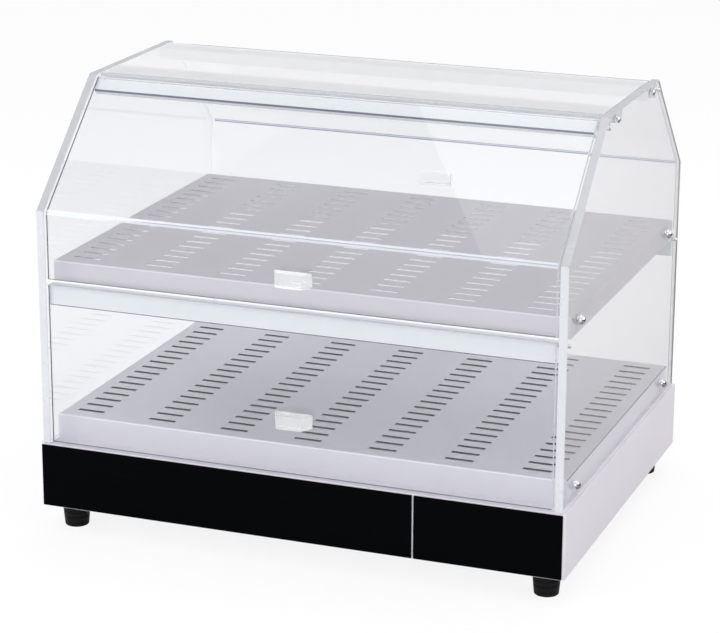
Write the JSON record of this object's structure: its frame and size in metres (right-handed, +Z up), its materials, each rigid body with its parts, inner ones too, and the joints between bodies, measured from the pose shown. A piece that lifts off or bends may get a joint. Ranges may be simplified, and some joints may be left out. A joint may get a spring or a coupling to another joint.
{
  "type": "heated display case",
  "caption": "Counter-top heated display case: slotted deck and shelf between clear sides on a heated base, with clear flap doors front and rear.",
  "frame": {"origin": "centre of the footprint on the surface that the feet stand on", "axes": "+X to the right seen from the front, +Y to the rear, +Z up; the black panels face -Y"},
  "size_m": [0.662, 0.526, 0.537],
  "materials": {
    "base_steel": "light grey painted sheet, satin",
    "black_panel": "polished black panel",
    "foot_rubber": "black moulded rubber",
    "fastener_steel": "zinc plated",
    "reflector_aluminium": "bright rolled sheet",
    "rod_steel": "dull steel tube with pale ceramic caps",
    "bracket_steel": "plain sheet",
    "knob_black": "matt black moulding",
    "bulb_copper": "drawn copper",
    "switch_black": "matt black moulding",
    "rocker_black": "polished black moulding",
    "lamp_amber": "translucent amber lens in a dark bezel",
    "gland_grey": "dark grey nylon",
    "terminal_cream": "cream thermoset",
    "tray_steel": "satin punched sheet",
    "bolt_chrome": "polished plated heads",
    "pin_steel": "turned stainless",
    "rail_aluminium": "satin anodised extrusion",
    "clear_acrylic": "clear polished acrylic, 10 mm sides and 4 mm top",
    "door_acrylic": "clear polished acrylic, 5 mm",
    "strip_acrylic": "milk-white acrylic bar, sawn and bonded",
    "handle_acrylic": "clear polished acrylic block"
  },
  "bodies": {
    "case": {"base_housing": "base_steel", "fascia_main": "black_panel", "fascia_service": "black_panel", "feet": "foot_rubber", "foot_nuts": "fastener_steel", "reflector_tray": "reflector_aluminium", "heating_rods": "rod_steel", "rod_brackets": "bracket_steel", "thermostat": "bracket_steel", "thermostat_bulb": "bulb_copper", "bulb_clip": "bracket_steel", "switch_body": "switch_black", "pilot_lamp": "lamp_amber", "cable_gland": "gland_grey", "gland_nut": "gland_grey", "terminal_block": "terminal_cream", "deck_tray": "tray_steel", "deck_bolts": "bolt_chrome", "deck_nuts": "fastener_steel", "shelf_tray": "tray_steel", "shelf_bolts": "bolt_chrome", "shelf_nuts": "fastener_steel", "side_panel_left": "clear_acrylic", "side_panel_right": "clear_acrylic", "top_rail_front": "rail_aluminium", "top_rail_rear": "rail_aluminium", "rail_screws": "bolt_chrome", "top_panel": "clear_acrylic"},
    "thermostat_dial": {"thermostat_shaft": "bracket_steel", "thermostat_knob": "knob_black"},
    "switch_rocker": {"switch_rocker": "rocker_black"},
    "door_upper_front": {"door_upper_front": "door_acrylic", "hinge_strip_upper_front": "strip_acrylic", "hinge_pins_upper_front": "pin_steel", "handle_upper_front": "handle_acrylic"},
    "door_lower_front": {"door_lower_front": "door_acrylic", "hinge_strip_lower_front": "strip_acrylic", "hinge_pins_lower_front": "pin_steel", "handle_lower_front": "handle_acrylic"},
    "door_upper_rear": {"door_upper_rear": "door_acrylic", "hinge_strip_upper_rear": "strip_acrylic", "hinge_pins_upper_rear": "pin_steel", "handle_upper_rear": "handle_acrylic"},
    "door_lower_rear": {"door_lower_rear": "door_acrylic", "hinge_strip_lower_rear": "strip_acrylic", "hinge_pins_lower_rear": "pin_steel", "handle_lower_rear": "handle_acrylic"}
  },
  "joints": [
    {"name": "upper_front_door_hinge", "type": "hinge", "parent": "case", "child": "door_upper_front", "pos_m": [0, -0.09917, 0.52462], "axis": [-1, 0, 0], "range_deg": [0, 110]},
    {"name": "lower_front_door_hinge", "type": "hinge", "parent": "case", "child": "door_lower_front", "pos_m": [0, -0.238, 0.3075], "axis": [-1, 0, 0], "range_deg": [0, 90]},
    {"name": "upper_rear_door_hinge", "type": "hinge", "parent": "case", "child": "door_upper_rear", "pos_m": [0, 0.12145, 0.52463], "axis": [1, 0, 0], "range_deg": [0, 110]},
    {"name": "lower_rear_door_hinge", "type": "hinge", "parent": "case", "child": "door_lower_rear", "pos_m": [0, 0.238, 0.3075], "axis": [1, 0, 0], "range_deg": [0, 90]},
    {"name": "thermostat_turn", "type": "hinge", "parent": "case", "child": "thermostat_dial", "pos_m": [0.2, 0.25, 0.072], "axis": [0, -1, 0], "range_deg": [0, 270]},
    {"name": "switch_tilt", "type": "hinge", "parent": "case", "child": "switch_rocker", "pos_m": [0.12, 0.2465, 0.072], "axis": [1, 0, 0], "range_deg": [0, 24]}
  ]
}
